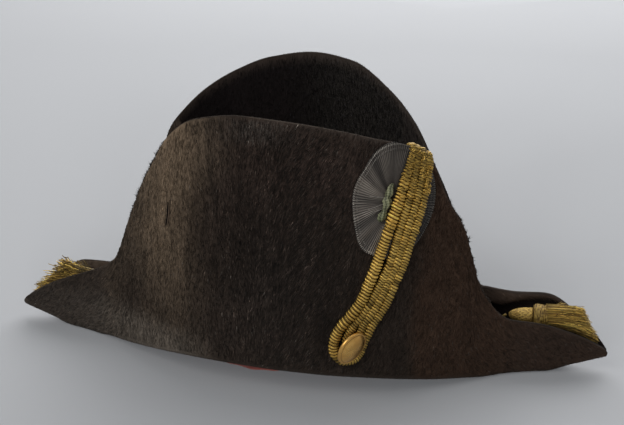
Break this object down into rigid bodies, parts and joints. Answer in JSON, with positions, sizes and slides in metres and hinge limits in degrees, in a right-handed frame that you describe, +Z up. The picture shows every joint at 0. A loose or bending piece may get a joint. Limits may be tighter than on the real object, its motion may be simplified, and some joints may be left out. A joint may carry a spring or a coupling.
{
  "type": "bicorne hat",
  "caption": "Fore-and-aft cocked hat of plush felt with two raised fans, ribbon cockade, bullion loops and button, and a tassel in each pointed end.",
  "frame": {"origin": "middle of the bottom of the bounding box, on the surface the hat stands on", "axes": "+X along the hat towards its front end, +Y away from the side with the cockade, +Z up"},
  "size_m": [0.45, 0.1782, 0.2145],
  "materials": {
    "crown_felt": "short dark felt",
    "plush_felt": "brown-black plush with a brushed nap, dusty and rubbed along its edges",
    "red_lining": "thin faded red cloth",
    "black_ribbon": "pleated black ribbed ribbon",
    "green_silk": "gathered pale green silk",
    "gold_bullion": "coiled gilt bullion wire",
    "gilt_metal": "polished gilt",
    "gold_thread": "gilt thread"
  },
  "bodies": {
    "root": {"crown": "crown_felt", "brim": "plush_felt", "lining": "red_lining", "cockade": "black_ribbon", "cockade_centre": "green_silk", "outer_loop": "gold_bullion", "inner_loop": "gold_bullion", "button": "gilt_metal", "tassel_head_front": "gold_thread", "tassel_collar_front": "gold_thread", "tassel_fringe_front": "gold_thread", "tassel_cord_front": "gold_thread", "tassel_head_rear": "gold_thread", "tassel_collar_rear": "gold_thread", "tassel_fringe_rear": "gold_thread", "tassel_cord_rear": "gold_thread"}
  },
  "joints": []
}
